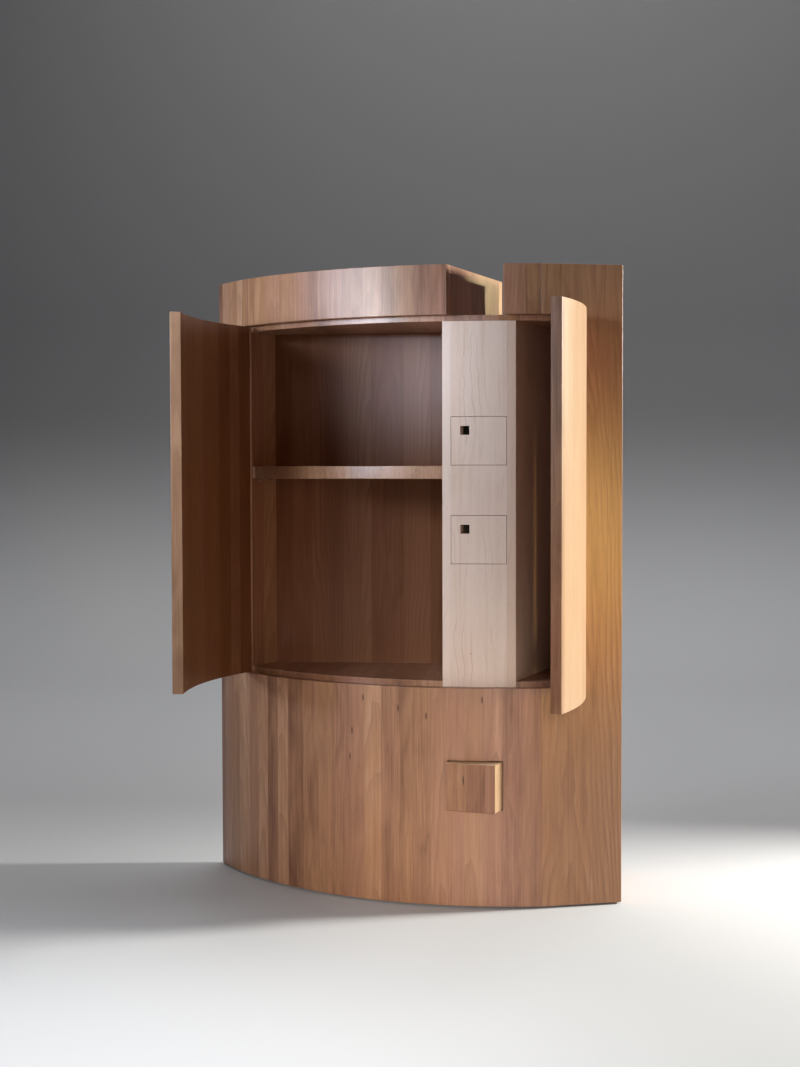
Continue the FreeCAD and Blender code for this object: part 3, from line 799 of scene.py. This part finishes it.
class CABINET_OT_drawers(bpy.types.Operator):
    """Block drawer, the drawer boxes and the boards that they run on"""
    bl_idname = "cabinet.drawers"
    bl_label = "Drawers"

    def execute(self, context):
        sizes = context.scene.cabinet_sizes
        arris = sizes.fine_arris
        turn = -sizes.slab_turn
        # The block takes a little of the dark colour, and a painted highlight on its sides and top
        block = pear(
            "pear_block", on_board(turn, "xyz"), glued(CASE_REACH, sizes.block_stave_width, 21), 73.0,
            [BLOCK_FLECK], stain_and_shade=0.22, highlight_rule=self.block_sides)
        long_boards = maple("maple_box_sides", on_board(turn, "zxy"), ONE_BOARD, 9.0, streaks=0.25)
        cross_boards = maple("maple_box_backs", on_board(turn, "zyx"), ONE_BOARD, 13.0, streaks=0.25)
        runners = maple(
            "maple_runners", on_board(turn, "xzy"), glued(LONG_REACH, sizes.runner_width, 25), 17.0,
            streaks=0.2)
        eased("block_drawer_front", sizes.block_arris, block)
        for drawer in ("upper_drawer", "middle_drawer", "block_drawer"):
            for hand in ("left", "right"):
                eased(drawer + "_side_" + hand, arris, long_boards)
            eased(drawer + "_back", arris, cross_boards)
            eased(drawer + "_bottom", arris, runners)
        for node in ("column_bearer_upper", "column_bearer_middle", "tunnel_bearer", "tunnel_guide_left",
                     "tunnel_guide_right", "tunnel_kicker"):
            eased(node, arris, runners)
        return {"FINISHED"}

    def block_sides(self, finish, place):
        """Painted highlight on the sides and the top of the block, whose face stays darker."""
        sizes = bpy.context.scene.cabinet_sizes
        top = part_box("block_drawer_front")[1].z
        aside = finish.math("ABSOLUTE", finish.sum(place.across, -sizes.block_middle))
        beside = finish.skin(aside, sizes.block_half_width, 0.0010, 0.0002)
        above = finish.skin(place.along, top, 0.0010, 0.0003)
        return finish.times(finish.math("MAXIMUM", beside, above), 1.8)


class CABINET_OT_hinges(bpy.types.Operator):
    """Butt hinges with their pins and screws"""
    bl_idname = "cabinet.hinges"
    bl_label = "Hinges"

    def execute(self, context):
        arris = context.scene.cabinet_sizes.metal_arris
        leaf = patina("hinge_patina", 0.0)
        steel = patina("pin_and_screw_patina", 3.0)
        for side in ("left", "right"):
            eased(side + "_hinge_frame_leaves", arris, leaf)
            eased(side + "_hinge_door_leaves", arris, leaf)
            eased(side + "_hinge_pins", arris, steel)
            eased(side + "_hinge_door_screws", arris, steel)
        eased("hinge_frame_screws", arris, steel)
        return {"FINISHED"}


class CABINET_OT_studio(bpy.types.Operator):
    """Pale floor, grey backdrop, soft lights and the camera"""
    bl_idname = "cabinet.studio"
    bl_label = "Studio"

    def execute(self, context):
        studio = context.scene.cabinet_studio
        self.sweep(context)
        past_flag = self.flag(context)
        for light in LIGHTS:
            lamp = self.lamp(light, getattr(studio, light.name + "_power"))
            context.scene.collection.objects.link(lamp)
            if light.name != FLAGGED_LIGHT:
                lamp.light_linking.blocker_collection = past_flag
        self.room(context, studio)
        self.camera(context, studio)
        context.scene.view_settings.view_transform = "Standard"
        return {"FINISHED"}

    def sweep(self, context):
        """Floor that curves up into the backdrop."""
        mesh = bpy.data.meshes.new("studio_sweep")
        shape = bmesh.new()
        start = shape.verts.new((-SWEEP_HALF_WIDTH, SWEEP_FRONT, 0.0))
        turn = shape.verts.new((-SWEEP_HALF_WIDTH, SWEEP_BACK, 0.0))
        shape.edges.new((start, turn))
        bmesh.ops.spin(
            shape, geom=[turn], cent=(-SWEEP_HALF_WIDTH, SWEEP_BACK, SWEEP_CURVE), axis=(1, 0, 0),
            angle=math.radians(90), steps=SWEEP_STEPS)
        shape.verts.ensure_lookup_table()
        end = max(shape.verts, key=lambda vert: (vert.co.y, vert.co.z))
        top = shape.verts.new((-SWEEP_HALF_WIDTH, end.co.y, SWEEP_TOP))
        shape.edges.new((end, top))
        made = bmesh.ops.extrude_edge_only(shape, edges=shape.edges[:])["geom"]
        moved = [part for part in made if isinstance(part, bmesh.types.BMVert)]
        bmesh.ops.translate(shape, verts=moved, vec=(2 * SWEEP_HALF_WIDTH, 0.0, 0.0))
        bmesh.ops.recalc_face_normals(shape, faces=shape.faces)
        for face in shape.faces:
            face.smooth = True
        shape.to_mesh(mesh)
        shape.free()
        sweep = bpy.data.objects.new("studio_sweep", mesh)
        context.scene.collection.objects.link(sweep)
        mesh.materials.append(self.sweep_paint(context))

    def flag(self, context):
        """Black board that keeps the side light off the backdrop and lets all other light pass."""
        mesh = bpy.data.meshes.new("studio_flag")
        shape = bmesh.new()
        bmesh.ops.create_grid(shape, x_segments=1, y_segments=1, size=0.5)
        bmesh.ops.scale(shape, verts=shape.verts, vec=FLAG_SIZE)
        bmesh.ops.rotate(shape, verts=shape.verts, matrix=Matrix.Rotation(math.radians(90), 3, "Y"))
        bmesh.ops.translate(shape, verts=shape.verts, vec=FLAG_PLACE)
        bmesh.ops.solidify(shape, geom=shape.faces[:], thickness=FLAG_THICKNESS)
        bmesh.ops.recalc_face_normals(shape, faces=shape.faces)
        shape.to_mesh(mesh)
        shape.free()
        flag = bpy.data.objects.new("studio_flag", mesh)
        flag.visible_camera = False
        flag.visible_diffuse = False
        flag.visible_glossy = False
        context.scene.collection.objects.link(flag)
        mesh.materials.append(self.flag_cloth(context))
        past_flag = bpy.data.collections.new("past_flag")
        past_flag.objects.link(flag)
        past_flag.collection_objects[0].light_linking.link_state = "EXCLUDE"
        return past_flag

    def flag_cloth(self, context):
        colours = context.scene.cabinet_colours
        finish = Finish("flag_cloth")
        weave = finish.cloud(finish.joined(*finish.place()), across=900.0, along=900.0)
        cloth = finish.mix(weave, solid(colours.flag_black), solid(colours.flag_thread))
        return finish.surface(cloth, finish.scaled(weave, 0.85, 1.0), weave, 0.0002)

    def sweep_paint(self, context):
        colours = context.scene.cabinet_colours
        finish = Finish("studio_paint")
        x, y, z = finish.place()
        speck = finish.cloud(finish.joined(x, y, z), across=240.0, along=240.0)
        rise = finish.fade(z, 0.0, GREY_FROM_HEIGHT)
        paint = finish.mix(rise, solid(colours.floor_pale), solid(colours.backdrop_grey))
        return finish.surface(paint, finish.scaled(speck, 0.65, 0.8), speck, 0.00005)

    def lamp(self, light, power):
        """A disc of light, or a beam with a soft rim where the light has a cone."""
        name = light.name + "_light"
        data = bpy.data.lights.new(name, "SPOT" if light.cone else "AREA")
        if light.cone:
            data.spot_size = math.radians(light.cone)
            data.spot_blend = 1.0
            data.shadow_soft_size = light.size
        else:
            data.shape = "DISK"
            data.size = light.size
        data.energy = power
        data.color = light.colour
        lamp = bpy.data.objects.new(name, data)
        lamp.location = light.spot
        aim = Vector(light.target) - Vector(light.spot)
        lamp.rotation_euler = aim.to_track_quat("-Z", "Y").to_euler()
        return lamp

    def room(self, context, studio):
        """Faint even light all round, seen by the camera as plain grey."""
        colours = context.scene.cabinet_colours
        world = bpy.data.worlds.new("studio_room")
        world.use_nodes = True
        nodes = world.node_tree.nodes
        links = world.node_tree.links
        light = nodes["Background"]
        light.inputs["Color"].default_value = solid(colours.room_tint)
        light.inputs["Strength"].default_value = studio.room_level
        seen = nodes.new("ShaderNodeBackground")
        seen.inputs["Color"].default_value = solid(colours.backdrop_grey)
        seen.inputs["Strength"].default_value = studio.backdrop_level
        rays = nodes.new("ShaderNodeLightPath")
        choice = nodes.new("ShaderNodeMixShader")
        links.new(rays.outputs["Is Camera Ray"], choice.inputs[0])
        links.new(light.outputs[0], choice.inputs[1])
        links.new(seen.outputs[0], choice.inputs[2])
        links.new(choice.outputs[0], nodes["World Output"].inputs["Surface"])
        context.scene.world = world

    def camera(self, context, studio):
        data = bpy.data.cameras.new("studio_camera")
        data.lens = studio.lens
        data.sensor_width = SENSOR_WIDTH
        camera = bpy.data.objects.new("studio_camera", data)
        turn = Matrix.Rotation(studio.camera_turn, 4, "Z")
        tilt = Matrix.Rotation(math.radians(90) - studio.camera_tilt, 4, "X")
        roll = Matrix.Rotation(studio.camera_roll, 4, "Z")
        camera.matrix_world = Matrix.Translation(studio.camera_place) @ turn @ tilt @ roll
        context.scene.collection.objects.link(camera)
        context.scene.camera = camera


class CABINET_PT_panel(bpy.types.Panel):
    bl_label = "Bow-fronted cabinet"
    bl_idname = "CABINET_PT_panel"
    bl_space_type = "VIEW_3D"
    bl_region_type = "UI"
    bl_category = "Cabinet"

    def draw(self, context):
        scene = context.scene
        for group in (scene.cabinet_sizes, scene.cabinet_colours, scene.cabinet_studio):
            box = self.layout.box()
            for name in group.__annotations__:
                box.prop(group, name)
        for operator in OPERATORS:
            self.layout.operator(operator.bl_idname)


GROUPS = {"cabinet_sizes": CabinetSizes, "cabinet_colours": CabinetColours, "cabinet_studio": StudioSettings}
OPERATORS = (
    CABINET_OT_case,
    CABINET_OT_inside,
    CABINET_OT_column,
    CABINET_OT_doors,
    CABINET_OT_drawers,
    CABINET_OT_hinges,
    CABINET_OT_studio,
)


def register():
    for name, group in GROUPS.items():
        bpy.utils.register_class(group)
        setattr(bpy.types.Scene, name, PointerProperty(type=group))
    for kind in (*OPERATORS, CABINET_PT_panel):
        bpy.utils.register_class(kind)


def unregister():
    for kind in (CABINET_PT_panel, *reversed(OPERATORS)):
        bpy.utils.unregister_class(kind)
    for name, group in GROUPS.items():
        delattr(bpy.types.Scene, name)
        bpy.utils.unregister_class(group)


def main():
    register()
    bpy.ops.cabinet.case()
    bpy.ops.cabinet.inside()
    bpy.ops.cabinet.column()
    bpy.ops.cabinet.doors()
    bpy.ops.cabinet.drawers()
    bpy.ops.cabinet.hinges()
    bpy.ops.cabinet.studio()


if __name__ == "__main__":
    main()
